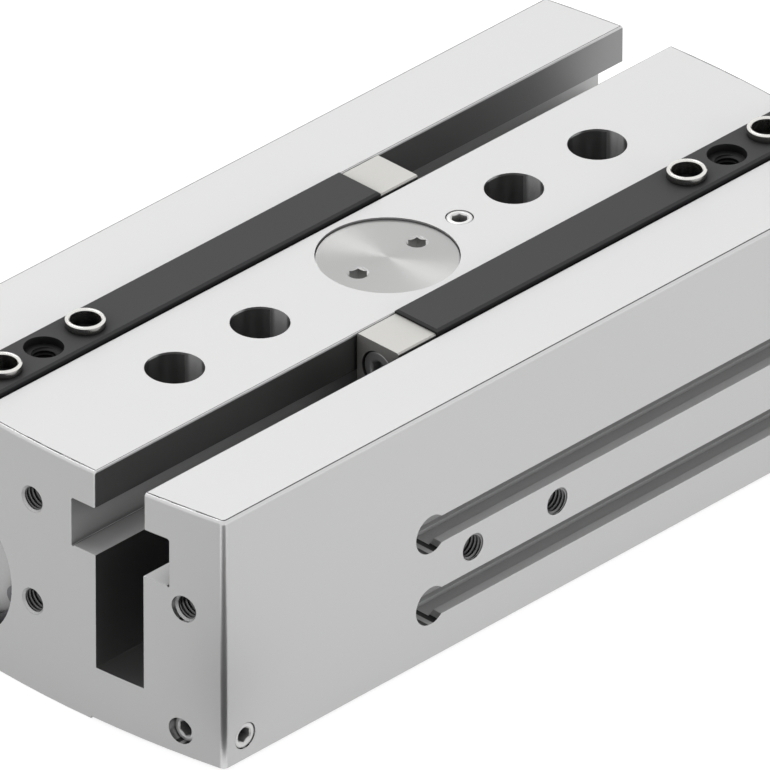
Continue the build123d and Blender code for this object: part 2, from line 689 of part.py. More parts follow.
def make_piston():
    """The left piston: a turned disc with four grooves and a pocket for the rod's nut."""
    radius = BORE_RADIUS - PISTON_CLEARANCE
    depths = (SEAL_DEPTH, GUIDE_RING_DEPTH, MAGNET_DEPTH, SEAL_DEPTH)
    widths = (SEAL_WIDTH, ring_width(), ring_width(), SEAL_WIDTH)
    with BuildPart() as piston:
        add(turned(-PISTON_REAR, -PISTON_FRONT, radius, STUB_DIAMETER / 2 + PRESS_GAP))
        for start, width, depth in zip(groove_starts(), widths, depths):
            add(piston_ring(start, width, radius, radius - depth), mode=Mode.SUBTRACT)
        pocket = NUT_HEIGHT + BUMPER_GAP
        add(turned(-PISTON_REAR, pocket - PISTON_REAR, NUT_POCKET / 2), mode=Mode.SUBTRACT)
    return piston.part


def make_piston_seals():
    """Two lip seals, each with its lip towards the nearer end of the piston."""
    radius = BORE_RADIUS - RUNNING_CLEARANCE
    root = BORE_RADIUS - PISTON_CLEARANCE - SEAL_DEPTH + PRESS_GAP
    starts = groove_starts()
    with BuildPart() as seals:
        for start, lip_start in ((starts[0], 0), (starts[3], SEAL_WIDTH - SEAL_LIP)):
            add(piston_ring(start, SEAL_WIDTH, radius, root))
            middle = (radius + root) / 2
            lip = piston_ring(start + lip_start, SEAL_LIP, middle + SEAL_LIP, middle - SEAL_LIP)
            add(lip, mode=Mode.SUBTRACT)
    return seals.part


def make_guide_ring():
    """The piston's guide ring, which carries it in the bore."""
    root = BORE_RADIUS - PISTON_CLEARANCE - GUIDE_RING_DEPTH + PRESS_GAP
    return piston_ring(groove_starts()[1], ring_width(), BORE_RADIUS - RUNNING_CLEARANCE, root)


def make_magnet():
    """The piston's ring magnet, which the sensors in the side slots read."""
    root = BORE_RADIUS - PISTON_CLEARANCE - MAGNET_DEPTH + PRESS_GAP
    return piston_ring(groove_starts()[2], ring_width(), BORE_RADIUS - PISTON_CLEARANCE, root)


def make_rod():
    """The piston rod, with a stub through the piston and one into the driver."""
    stub = STUB_DIAMETER / 2
    with BuildPart() as rod:
        add(turned(-PISTON_FRONT, JAW_INNER_END, ROD_DIAMETER / 2))
        add(turned(JAW_INNER_END, DRIVER_OUTER - 2 * DRIVER_EDGE, stub))
        add(turned(BUMPER_GAP - PISTON_REAR, -PISTON_FRONT, stub))
    return rod.part


def make_nut():
    """The nut that holds the piston on its rod, in the pocket behind it."""
    seat = BUMPER_GAP - PISTON_REAR
    with BuildPart() as nut:
        with BuildSketch(Plane.YZ.offset(seat)):
            with Locations((JAW_OFFSET, AXIS_Z)):
                RegularPolygon(hex_radius(NUT_HEX), 6)
                Circle(STUB_DIAMETER / 2 + PRESS_GAP, mode=Mode.SUBTRACT)
        extrude(amount=NUT_HEIGHT)
    return nut.part


def make_cap():
    """The left cylinder's end cap: a flange with an O-ring groove and a nose that stops the
    piston, with a shallow dish in its outer face."""
    radius = CAP_RADIUS - 2 * PRESS_GAP
    groove = (CAP_FLANGE - O_RING_GROOVE) / 2
    floor = radius - O_RING_SECTION - RUNNING_CLEARANCE
    with BuildPart() as cap:
        add(turned(-CAP_BACK, -CAP_SEAT, radius))
        add(turned(-CAP_SEAT, -CAP_FACE, CAP_NOSE_DIAMETER / 2))
        add(turned(groove - CAP_BACK, -CAP_SEAT - groove, radius, floor), mode=Mode.SUBTRACT)
        add(turned(-CAP_BACK, CAP_DISH - CAP_BACK, CAP_DISH_DIAMETER / 2), mode=Mode.SUBTRACT)
    return cap.part


def make_o_ring():
    """The end cap's O-ring, resting on its groove's floor."""
    floor = CAP_RADIUS - 2 * PRESS_GAP - O_RING_SECTION - RUNNING_CLEARANCE
    middle = -(CAP_BACK + CAP_SEAT) / 2
    with BuildPart() as ring:
        with BuildSketch(CYLINDER_PLANE):
            with Locations((middle, floor + O_RING_SECTION / 2)):
                Circle(O_RING_SECTION / 2)
        revolve(axis=CYLINDER_AXIS)
    return ring.part


def make_circlip():
    """The inner circlip that holds the end cap, with its gap towards the block's middle."""
    outer = CAP_RADIUS + CIRCLIP_GROOVE_DEPTH - RUNNING_CLEARANCE
    inner = CAP_RADIUS + CIRCLIP_GROOVE_DEPTH - CIRCLIP_WIDTH
    lug_radius = inner - CIRCLIP_EYE_RADIUS / 2
    half_gap = radians(CIRCLIP_GAP_ANGLE / 2)
    lugs = [(-lug_radius * cos(a), lug_radius * sin(a)) for a in (-1.5 * half_gap, 1.5 * half_gap)]
    reach = (outer * cos(half_gap), outer * sin(half_gap))
    plane = Plane(origin=(-CIRCLIP_BACK, JAW_OFFSET, AXIS_Z), x_dir=(0, 1, 0), z_dir=(1, 0, 0))
    with BuildPart() as clip:
        with BuildSketch(plane):
            Circle(outer)
            Circle(inner, mode=Mode.SUBTRACT)
            with Locations(*lugs):
                Circle(CIRCLIP_LUG_RADIUS)
            with BuildLine():
                Polyline((0, 0), (-2 * reach[0], 2 * reach[1]), (-2 * reach[0], -2 * reach[1]), close=True)
            make_face(mode=Mode.SUBTRACT)
            with Locations(*lugs):
                Circle(CIRCLIP_EYE_RADIUS, mode=Mode.SUBTRACT)
        extrude(amount=CIRCLIP_THICKNESS)
    return clip.part


def make_rod_guide():
    """The rod guide in the front wall, with an air groove below the port and flutes to the bore."""
    outer = GUIDE_DIAMETER / 2
    groove = PORT_OFFSET - AIR_GROOVE_WIDTH / 2
    with BuildPart() as guide:
        add(turned(-FRONT_WALL, GUIDE_END, outer, ROD_DIAMETER / 2 + RUNNING_CLEARANCE))
        flange = GUIDE_FLANGE_DIAMETER / 2
        add(turned(-FRONT_WALL, GUIDE_FLANGE - FRONT_WALL, flange, outer - AIR_GROOVE_DEPTH))
        ring = turned(groove, groove + AIR_GROOVE_WIDTH, outer, outer - AIR_GROOVE_DEPTH)
        add(ring, mode=Mode.SUBTRACT)
        with BuildSketch(Plane.YZ.offset(-FRONT_WALL)):
            with Locations((JAW_OFFSET, AXIS_Z)):
                with PolarLocations(outer, 4):
                    Circle(AIR_GROOVE_DEPTH)
        extrude(amount=FRONT_WALL + groove, mode=Mode.SUBTRACT)
    return guide.part


def make_rod_seal():
    """The rod's lip seal, in the pocket between the guide and the wall."""
    outer = GUIDE_DIAMETER / 2 - PRESS_GAP
    inner = ROD_DIAMETER / 2 + RUNNING_CLEARANCE
    middle = (outer + inner) / 2
    with BuildPart() as seal:
        add(turned(GUIDE_END, SEAL_END, outer, inner))
        lip = turned(GUIDE_END, GUIDE_END + SEAL_LIP, middle + SEAL_LIP, middle - SEAL_LIP)
        add(lip, mode=Mode.SUBTRACT)
    return seal.part


def make_bumpers():
    """The two end-of-stroke bumpers, on the cap's nose and on the rod guide's flange."""
    outer = BUMPER_DIAMETER / 2
    inner = NUT_POCKET / 2
    with BuildPart() as bumpers:
        add(turned(-CAP_FACE, BUMPER_THICKNESS - CAP_FACE, outer, inner))
        add(turned(-FRONT_WALL - BUMPER_THICKNESS, -FRONT_WALL, outer, inner))
    return bumpers.part


# Duct plugs


def make_plug(plane, point, sink):
    """A grub plug sunk a little into a face, with a hexagon socket."""
    with BuildPart() as plug:
        with BuildSketch(plane.offset(-sink)):
            with Locations(point):
                Circle(PLUG_DIAMETER / 2)
        extrude(amount=-PLUG_LENGTH)
        with BuildSketch(plane.offset(-sink)):
            with Locations(point):
                RegularPolygon(hex_radius(PLUG_HEX), 6)
        extrude(amount=-PLUG_HEX_DEPTH, mode=Mode.SUBTRACT)
    return plug.part


def keep(piece, name):
    """Labels a finished piece and writes its file."""
    piece.label = name
    export_step(piece, f"parts/{name}.step")


def main():
    os.makedirs("parts", exist_ok=True)
    keep(make_housing(), "housing")
    keep(make_cover(), "pinion_cover")
    keep(make_pinion(), "pinion")
    keep(make_shaft(), "pinion_shaft")
    keep(make_bush(T_ROOF, UPPER_BUSH_LENGTH), "pinion_bush_upper")
    keep(make_bush(T_FLOOR - LOWER_BUSH_LENGTH, LOWER_BUSH_LENGTH), "pinion_bush_lower")
    keep(make_plug(Plane.XY.offset(TOP), (TOP_PLUG_X, 0), 0), "top_duct_plug")
    end_plug = make_plug(end_face(-DUCT_Y), (0, DUCT_HEIGHT), END_PLUG_SINK)
    keep(both_ways(end_plug), "end_duct_plugs")
    side_plug = make_plug(FRONT_FACE, (-CROSS_DUCT_X, DUCT_HEIGHT), SIDE_PLUG_SINK)
    keep(both_ways(side_plug), "side_duct_plugs")
    under_plug = make_plug(UNDERSIDE, (-PORT_OFFSET - PORT_SPACING, DUCT_Y), SIDE_PLUG_SINK)
    keep(both_ways(under_plug), "underside_duct_plugs")
    sided = {
        "jaw": make_jaw(),
        "centring_sleeves": make_sleeves(),
        "driver": make_driver(),
        "driver_screws": make_driver_screws(),
        "piston_rod": make_rod(),
        "piston": make_piston(),
        "piston_seals": make_piston_seals(),
        "piston_guide_ring": make_guide_ring(),
        "piston_magnet": make_magnet(),
        "piston_nut": make_nut(),
        "cylinder_cap": make_cap(),
        "cap_o_ring": make_o_ring(),
        "cap_circlip": make_circlip(),
        "rod_guide": make_rod_guide(),
        "rod_seal": make_rod_seal(),
        "bumpers": make_bumpers(),
    }
    for name, piece in sided.items():
        keep(piece, f"{name}_left")
        with BuildPart() as right:
            add(piece, rotation=(0, 0, 180))
        keep(right.part, f"{name}_right")


main()
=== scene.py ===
import json
from math import cos, pi, radians, sin

import bpy
from mathutils import Matrix, Vector


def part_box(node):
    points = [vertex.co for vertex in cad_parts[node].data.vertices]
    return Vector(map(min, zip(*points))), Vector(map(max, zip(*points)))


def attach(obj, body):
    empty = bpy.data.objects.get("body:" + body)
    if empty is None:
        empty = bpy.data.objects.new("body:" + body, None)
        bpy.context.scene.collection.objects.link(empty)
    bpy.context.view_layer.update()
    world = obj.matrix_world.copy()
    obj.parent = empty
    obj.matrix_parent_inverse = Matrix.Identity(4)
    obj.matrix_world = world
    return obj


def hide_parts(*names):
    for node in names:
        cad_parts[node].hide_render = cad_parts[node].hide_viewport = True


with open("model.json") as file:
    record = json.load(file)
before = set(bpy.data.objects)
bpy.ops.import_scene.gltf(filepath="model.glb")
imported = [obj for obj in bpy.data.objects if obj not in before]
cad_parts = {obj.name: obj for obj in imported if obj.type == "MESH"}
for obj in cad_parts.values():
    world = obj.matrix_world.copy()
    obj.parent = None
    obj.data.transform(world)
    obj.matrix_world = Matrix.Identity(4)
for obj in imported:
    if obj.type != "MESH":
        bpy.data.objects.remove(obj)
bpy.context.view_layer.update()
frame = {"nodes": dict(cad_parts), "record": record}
nodes = frame["nodes"]
mounts = {mount["name"]: mount for mount in frame["record"]["mounts"]}

MM = 0.001
TOP = 49.4 * MM
JAW_Y = 19.35 * MM
JAW_TOP = 50.4 * MM
KEY_HOLE_X = 7.2 * MM
KEY_TURN = radians(-45)
COVER_RADIUS = 12.5 * MM


# Camera

def set_camera():
    """A long lens, fitted to the photograph's edges and holes: it stands at a distance from the middle
    of the cover, and is moved aside until the cover falls on its place in the picture."""
    azimuth, elevation, roll = radians(-45.746), radians(31.529), radians(0.16)
    distance, focal_px, picture_px, sensor_width_mm = 3.99065, 23387.0, 770.0, 36
    cover_px = (387.61, 255.12)
    back = Vector((sin(azimuth) * cos(elevation), -cos(azimuth) * cos(elevation), sin(elevation)))
    right = Vector((cos(azimuth), sin(azimuth), 0))
    up = back.cross(right)
    right, up = cos(roll) * right + sin(roll) * up, cos(roll) * up - sin(roll) * right
    aside = (cover_px[0] - picture_px / 2) / focal_px * distance
    above = (cover_px[1] - picture_px / 2) / focal_px * distance
    data = bpy.data.cameras.new("camera")
    data.sensor_width = sensor_width_mm
    data.lens = focal_px / picture_px * sensor_width_mm
    data.clip_start, data.clip_end = 0.1, 50
    camera = bpy.data.objects.new("camera", data)
    bpy.context.scene.collection.objects.link(camera)
    turn = Matrix((right, up, back)).transposed().to_4x4()
    stand = Vector((0, 0, TOP)) + back * distance - right * aside + up * above
    camera.matrix_world = Matrix.Translation(stand) @ turn
    bpy.context.scene.camera = camera


# Materials

BODY_COLOUR = "#cfcfcf"
GRAIN_HEIGHT = 0.02 * MM


def linear(hex_colour):
    """An sRGB hex colour as the linear values that the shaders take."""
    parts = [int(hex_colour[i:i + 2], 16) / 255 for i in (1, 3, 5)]
    return [c / 12.92 if c <= 0.04045 else ((c + 0.055) / 1.055) ** 2.4 for c in parts] + [1.0]


def add_node(tree, kind, links=(), values=(), **settings):
    """Adds a node, sets its properties and its named sockets, and then sets and links the sockets listed."""
    node = tree.nodes.new(kind)
    for key, value in settings.items():
        if hasattr(node, key):
            setattr(node, key, value)
        else:
            node.inputs[key.replace("_", " ")].default_value = value
    for socket, value in values:
        node.inputs[socket].default_value = value
    for socket, source in links:
        tree.links.new(source, node.inputs[socket])
    return node


def new_material(name, colour, metallic, roughness, **more):
    """A material with its Principled shader's plain values set."""
    material = bpy.data.materials.new(name)
    material.use_nodes = True
    shader = material.node_tree.nodes["Principled BSDF"]
    shader.inputs["Base Color"].default_value = linear(colour)
    shader.inputs["Metallic"].default_value = metallic
    shader.inputs["Roughness"].default_value = roughness
    for key, value in more.items():
        shader.inputs[key.replace("_", " ")].default_value = value
    return material, material.node_tree, shader


def painted_hollow_shade(tree, colour, reach_mm, power, local=False):
    """A finish's colour with painted shade: darkened towards near black where walls stand close round it, as
    in a slot or a hole.
    """
    open_sky = add_node(tree, "ShaderNodeAmbientOcclusion", samples=6, only_local=local,
                        Distance=reach_mm * MM).outputs["AO"]
    depth = add_node(tree, "ShaderNodeMath", [(0, open_sky)], [(1, power)], operation="POWER").outputs[0]
    painted_shade_and_colour = [(6, linear("#0c0c0d")), (7, linear(colour))]
    return add_node(tree, "ShaderNodeMix", [(0, depth)], painted_shade_and_colour, data_type="RGBA").outputs[2]


# The painted shade inside the housing: how far it reaches from the middle of each slot and of the row of bolt
# holes, and how high. It leaves out the T-slots' undercuts, a band round a middle height.
SLOT_SHADE_REACH = 5.35 * MM
HOLE_SHADE_REACH = 5.3 * MM
SHADE_TOP = 48.95 * MM
UNDERCUT_Z = 37.5 * MM
UNDERCUT_REACH = 4.6 * MM
RECESS_WALL_REACH = 0.2 * MM


def painted_slot_shade(tree, coordinates, along):
    """1 where the housing's colour is darkened by painted shade: in the slots' necks, the deep slots, the
    bolt holes and on the wall of the cover's recess, and neither in the undercuts nor on the end faces."""
    place = add_node(tree, "ShaderNodeVectorMath", [(0, coordinates["Object"])], operation="ABSOLUTE")
    place = add_node(tree, "ShaderNodeSeparateXYZ", [(0, place.outputs[0])]).outputs
    slots = add_node(tree, "ShaderNodeMath", [(0, place[1])], [(1, JAW_Y), (2, SLOT_SHADE_REACH)],
                     operation="COMPARE").outputs[0]
    holes = add_node(tree, "ShaderNodeMath", [(0, place[1])], [(1, HOLE_SHADE_REACH)],
                     operation="LESS_THAN").outputs[0]
    inside = add_node(tree, "ShaderNodeMath", [(0, slots), (1, holes)], operation="MAXIMUM").outputs[0]
    below = add_node(tree, "ShaderNodeMath", [(0, place[2])], [(1, SHADE_TOP)],
                     operation="LESS_THAN").outputs[0]
    inside = add_node(tree, "ShaderNodeMath", [(0, inside), (1, below)], operation="MULTIPLY").outputs[0]
    undercuts = add_node(tree, "ShaderNodeMath", [(0, place[2])], [(1, UNDERCUT_Z), (2, UNDERCUT_REACH)],
                         operation="COMPARE").outputs[0]
    inside = add_node(tree, "ShaderNodeMath", [(0, inside), (1, undercuts)], operation="SUBTRACT").outputs[0]
    inside = add_node(tree, "ShaderNodeClamp", [("Value", inside)]).outputs[0]
    # The end faces' normals point along X
    off_ends = add_node(tree, "ShaderNodeMath", [(0, along[0])], [(1, 0.9)], operation="LESS_THAN").outputs[0]
    inside = add_node(tree, "ShaderNodeMath", [(0, inside), (1, off_ends)], operation="MULTIPLY").outputs[0]
    flat = add_node(tree, "ShaderNodeVectorMath", [(0, coordinates["Object"])], [(1, (1, 1, 0))],
                    operation="MULTIPLY").outputs[0]
    radius = add_node(tree, "ShaderNodeVectorMath", [(0, flat)], operation="LENGTH").outputs["Value"]
    recess = add_node(tree, "ShaderNodeMath", [(0, radius)], [(1, COVER_RADIUS), (2, RECESS_WALL_REACH)],
                      operation="COMPARE").outputs[0]
    upright = add_node(tree, "ShaderNodeMath", [(0, along[2])], [(1, 0.5)], operation="LESS_THAN").outputs[0]
    recess = add_node(tree, "ShaderNodeMath", [(0, recess), (1, upright)], operation="MULTIPLY").outputs[0]
    return add_node(tree, "ShaderNodeMath", [(0, inside), (1, recess)], operation="MAXIMUM").outputs[0]


def clear_anodised():
    """Clear anodised aluminium, fine blasted: pale, even and silky, with smoother, shinier machined
    edges. Painted shade darkens it inside the slots, the bolt holes and on the cover recess's wall, and a
    painted dark line runs along its rounded top and bottom edges."""
    metallic, roughness, edge_roughness, crown, grit_mm = 0.3, 0.42, 0.35, 1.025, 0.25
    material, tree, shader = new_material("clear_anodised_aluminium", BODY_COLOUR, metallic, roughness)
    coordinates = add_node(tree, "ShaderNodeTexCoord").outputs
    along = add_node(tree, "ShaderNodeVectorMath", [(0, coordinates["Normal"])], operation="ABSOLUTE")
    along = add_node(tree, "ShaderNodeSeparateXYZ", [(0, along.outputs[0])]).outputs
    slot_shade = painted_slot_shade(tree, coordinates, along)
    pale_with_painted_shade = painted_hollow_shade(tree, BODY_COLOUR, reach_mm=5, power=0.65, local=True)
    # Where a face runs out into a rounded top or bottom edge, tilted by 8 to 26 degrees, a thin
    # dark line is painted: a painted dark reflection along the edge
    painted_edge_line = add_node(tree, "ShaderNodeMath", [(0, along[2])], [(1, 0.945), (2, 0.045)], operation="COMPARE")
    with_painted_edge_line = add_node(tree, "ShaderNodeMix", [(0, painted_edge_line.outputs[0]), (6, pale_with_painted_shade)], [(7, linear("#4a4a4a"))],
                     data_type="RGBA")
    # Painted shade: the slots, the bolt holes and the recess wall take a darker grey
    colour = add_node(tree, "ShaderNodeMix", [(0, slot_shade), (6, with_painted_edge_line.outputs[2])], [(7, linear("#8e8e8e"))],
                      data_type="RGBA")
    # A rounded edge turns away from all three axes; the crowned ends do so by up to 12 degrees, and stay out
    crowned = add_node(tree, "ShaderNodeMath", [(0, along[0])], [(1, crown)], operation="MULTIPLY")
    widest = add_node(tree, "ShaderNodeMath", [(0, crowned.outputs[0]), (1, along[1])], operation="MAXIMUM")
    widest = add_node(tree, "ShaderNodeMath", [(0, widest.outputs[0]), (1, along[2])], operation="MAXIMUM")
    metal = add_node(tree, "ShaderNodeMapRange", [("Value", widest.outputs[0])], From_Min=0.955,
                     From_Max=0.995, To_Min=1.0, To_Max=metallic)
    gloss = add_node(tree, "ShaderNodeMapRange", [("Value", widest.outputs[0])], From_Min=0.955,
                     From_Max=0.995, To_Min=edge_roughness, To_Max=roughness)
    grit = add_node(tree, "ShaderNodeTexNoise", [("Vector", coordinates["Object"])],
                    Scale=1000 / grit_mm, Detail=2.0)
    edge = add_node(tree, "ShaderNodeBevel", samples=4, Radius=0.1 * MM)
    bump = add_node(tree, "ShaderNodeBump", [("Height", grit.outputs["Fac"]), ("Normal", edge.outputs[0])],
                    Strength=0.05, Distance=GRAIN_HEIGHT)
    # The painted shade's places are made fully metallic as well as the rounded edges
    metallic_edges_and_shade = add_node(tree, "ShaderNodeMath", [(0, metal.outputs["Result"]), (1, slot_shade)], operation="MAXIMUM")
    tree.links.new(colour.outputs[2], shader.inputs["Base Color"])
    tree.links.new(metallic_edges_and_shade.outputs[0], shader.inputs["Metallic"])
    tree.links.new(gloss.outputs["Result"], shader.inputs["Roughness"])
    tree.links.new(bump.outputs["Normal"], shader.inputs["Normal"])
    return material


def turned_aluminium():
    """Turned aluminium: fine rings round the pinion's axis, which fan the light into wedges."""
    material, tree, shader = new_material("turned_aluminium", "#bcbcbb", 1.0, 0.3, Anisotropic=0.85)
    place = add_node(tree, "ShaderNodeTexCoord").outputs["Object"]
    # A ring every 0.35 mm, coarser than the real tool marks so that they show: 2 pi / (20 x 900) metres
    rings = add_node(tree, "ShaderNodeTexWave", [("Vector", place)], wave_type="RINGS", rings_direction="Z",
                     Scale=900.0, Distortion=0.3, Detail=2.0)
    bump = add_node(tree, "ShaderNodeBump", [("Height", rings.outputs["Fac"])], Strength=0.3,
                    Distance=GRAIN_HEIGHT)
    around = add_node(tree, "ShaderNodeTangent", direction_type="RADIAL", axis="Z")
    tree.links.new(around.outputs[0], shader.inputs["Tangent"])
    tree.links.new(bump.outputs["Normal"], shader.inputs["Normal"])
    return material


def plain_finish(name, colour, metallic, roughness, grain_mm, strength, reach_mm=6, power=2.5, **more):
    """A finish with a fine grain in its bump, a slow change in its roughness, and painted shade that darkens
    its hollows.
    """
    material, tree, shader = new_material(name, colour, metallic, roughness, **more)
    place = add_node(tree, "ShaderNodeTexCoord").outputs["Object"]
    tree.links.new(painted_hollow_shade(tree, colour, reach_mm, power), shader.inputs["Base Color"])
    grain = add_node(tree, "ShaderNodeTexNoise", [("Vector", place)], Scale=1000 / grain_mm, Detail=2.0)
    # The roughness changes over about 17 mm
    cloud = add_node(tree, "ShaderNodeTexNoise", [("Vector", place)], Scale=60.0, Detail=2.0)
    sheen = add_node(tree, "ShaderNodeMapRange", [("Value", cloud.outputs["Fac"])],
                     To_Min=roughness - 0.04, To_Max=roughness + 0.04)
    edge = add_node(tree, "ShaderNodeBevel", samples=4, Radius=0.12 * MM)
    bump = add_node(tree, "ShaderNodeBump", [("Height", grain.outputs["Fac"]), ("Normal", edge.outputs[0])],
                    Strength=strength, Distance=GRAIN_HEIGHT)
    tree.links.new(sheen.outputs["Result"], shader.inputs["Roughness"])
    tree.links.new(bump.outputs["Normal"], shader.inputs["Normal"])
    return material


finishes = {
    "anodised_body": clear_anodised(),
    "turned_aluminium": turned_aluminium(),
    # Hardened, dark coated steel: nearly black and matt, with little gloss
    "hardened_jaw": plain_finish("hard_coated_steel", "#363637", 0.0, 0.5, 0.25, 0.08,
                                 Specular_IOR_Level=0.2),
    # Dull nickel: a pale, slightly warm grey that hardly mirrors
    "driver_steel": plain_finish("nickel_plated_steel", "#c2c1bd", 0.3, 0.38, 0.2, 0.05, reach_mm=12),
    # Ground and bright: the centring sleeves' clear highlights
    "ground_steel": plain_finish("ground_steel", "#e6e5e1", 1.0, 0.22, 0.15, 0.05, reach_mm=3),
    # Bright grey screw steel, with painted shade that darkens its hollows, and grey highlights
    "dark_screw": plain_finish("grey_screw_steel_painted_shade", "#b4b4b4", 0.8, 0.35, 0.2, 0.08, power=0.6),
    # Zinc plate: pale, half bright
    "plated_steel": plain_finish("zinc_plated_steel", "#e0e0df", 0.5, 0.35, 0.2, 0.08, reach_mm=4,
                                 power=0.9),
    # The countersinks of the end threads, cut before anodising: as the housing, with painted shade that
    # darkens them close to the thread
    "anodised_mouth": plain_finish("anodised_mouth", BODY_COLOUR, 0.3, 0.42, 0.25, 0.05, reach_mm=1,
                                   power=1.0),
    # The end caps, faced on a lathe: a darker, clearer metal than the housing
    "faced_aluminium": plain_finish("faced_aluminium", "#a9a9a9", 0.8, 0.32, 0.25, 0.05, reach_mm=6,
                                    power=1.5),
    # Tapped after anodising: bare, bright crests, with painted shade that darkens the roots
    "cut_thread": plain_finish("cut_thread", "#8f8f8f", 0.9, 0.3, 0.3, 0.05, reach_mm=2, power=2.0),
    # Phosphated circlips: dark grey, silky
    "spring_steel": plain_finish("phosphated_spring_steel", "#77777a", 0.9, 0.4, 0.2, 0.08),
    # Sintered bushes: brown-yellow and grainy
    "bronze": plain_finish("sintered_bronze", "#b08d57", 0.9, 0.45, 0.2, 0.2),
    # Moulded seals and bumpers: black and matt
    "seal_rubber": plain_finish("nitrile_rubber", "#1b1b1c", 0.0, 0.6, 0.3, 0.1),
    # Bronze-filled PTFE guide rings: light brown
    "guide_plastic": plain_finish("filled_ptfe", "#a99f86", 0.0, 0.5, 0.3, 0.1),
    # Bonded ferrite magnets: dark grey
    "magnet": plain_finish("bonded_ferrite", "#2a2a2d", 0.0, 0.55, 0.3, 0.1),
}


def finish_nodes():
    """Gives every CAD node the finish of its slot in the record; only the cover, made below, has rings."""
    for part in frame["record"]["subparts"]:
        slots = nodes[part["node"]].data.materials
        slots.clear()
        turned = part["material_slot"] == "turned_aluminium"
        slots.append(finishes["faced_aluminium" if turned else part["material_slot"]])


# Modelling: each shape is made once, facing up out of the origin, and copied to its places

def start():
    """Leaves edit mode with nothing selected, so that the next operator acts on its own piece alone."""
    if bpy.context.object and bpy.context.object.mode != "OBJECT":
        bpy.ops.object.mode_set(mode="OBJECT")
    bpy.ops.object.select_all(action="DESELECT")


def pick(piece, wanted):
    """Opens a piece for editing with the faces selected whose centre and normal are wanted."""
    bpy.ops.object.mode_set(mode="EDIT")
    bpy.ops.mesh.select_mode(type="FACE")
    bpy.ops.mesh.select_all(action="DESELECT")
    bpy.ops.object.mode_set(mode="OBJECT")
    for face in piece.data.polygons:
        face.select = wanted(face.center, face.normal)
    bpy.ops.object.mode_set(mode="EDIT")


def apply_modifier(piece, kind, **settings):
    """Gives the active piece a modifier and applies it at once."""
    modifier = piece.modifiers.new("shape", kind)
    for key, value in settings.items():
        setattr(modifier, key, value)
    bpy.ops.object.modifier_apply(modifier=modifier.name)


def smooth(degrees_limit=30):
    """Leaves edit mode and smooths the active piece where its faces meet at less than the limit."""
    bpy.ops.object.mode_set(mode="OBJECT")
    bpy.ops.object.shade_smooth_by_angle(angle=radians(degrees_limit))


def facing(direction, at):
    """The place of a shape whose own up is turned to direction."""
    return Matrix.Translation(Vector(at)) @ Vector(direction).to_track_quat("Z", "Y").to_matrix().to_4x4()


def cut_to_shape(piece, cutter, operation="DIFFERENCE"):
    """Cuts a piece with another shape, which is then taken away."""
    start()
    piece.select_set(True)
    bpy.context.view_layer.objects.active = piece
    apply_modifier(piece, "BOOLEAN", operation=operation, object=cutter, solver="EXACT")
    bpy.data.objects.remove(cutter)


def put_copies(shape, places, body, slot, replaced=None, finish=None):
    """Puts a copy of a shape, with its own mesh, at each named place, then takes the shape away."""
    for name, place in places.items():
        piece = shape.copy()
        piece.data = shape.data.copy()
        piece.name = name
        piece.data.transform(place)
        bpy.context.scene.collection.objects.link(piece)
        piece.data.materials.clear()
        piece.data.materials.append(finishes[finish or slot])
        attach(piece, body)
        if replaced:
            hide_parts(replaced)
    bpy.data.objects.remove(shape)


# M5 threads: 0.8 mm pitch, 5 mm across the roots and 4.2 mm across the crests. A crest is 0.12 mm wide
# at its top and 0.78 mm at its foot, which sinks into the wall.

PITCH = 0.8 * MM
ROOT_RADIUS = 2.5 * MM
CREST_RADIUS = 2.1 * MM
CREST_WIDTH = 0.12 * MM
FOOT_WIDTH = 0.78 * MM
FOOT_SINK = 0.04 * MM


def thread_crest(first_depth, turns):
    """An inside thread wound down into a hole, cut off flat at its first depth and below its last turn.
    The winding starts a pitch too high and ends a pitch too low, so that both cuts meet whole turns."""
    start()
    height = ROOT_RADIUS - CREST_RADIUS + FOOT_SINK
    bpy.ops.mesh.primitive_plane_add(size=height, location=(0, 0, 0), rotation=(pi / 2, 0, 0))
    crest = bpy.context.object
    bpy.ops.object.transform_apply(location=True, rotation=True, scale=True)
    for corner in crest.data.vertices:
        half_width = (CREST_WIDTH if corner.co.x < 0 else FOOT_WIDTH) / 2
        corner.co.z = half_width * (1 if corner.co.z > 0 else -1) - first_depth + PITCH
        corner.co.x += CREST_RADIUS + height / 2
    apply_modifier(crest, "SCREW", angle=2 * pi, screw_offset=-PITCH, iterations=turns + 2, steps=40,
                   render_steps=40, axis="Z")
    bpy.ops.object.mode_set(mode="EDIT")
    bpy.ops.mesh.select_mode(type="VERT")
    bpy.ops.mesh.select_all(action="SELECT")
    bpy.ops.mesh.remove_doubles(threshold=0.5e-6)
    bpy.ops.mesh.select_all(action="DESELECT")
    bpy.ops.mesh.select_non_manifold(extend=False)
    bpy.ops.mesh.fill_holes(sides=4)
    bpy.ops.mesh.select_all(action="SELECT")
    bpy.ops.mesh.normals_make_consistent(inside=False)
    start()
    bpy.ops.mesh.primitive_cylinder_add(vertices=80, radius=ROOT_RADIUS + 0.2 * MM, depth=turns * PITCH,
                                        location=(0, 0, -first_depth - turns * PITCH / 2))
    cut_to_shape(crest, bpy.context.object, "INTERSECT")
    smooth()
    return crest


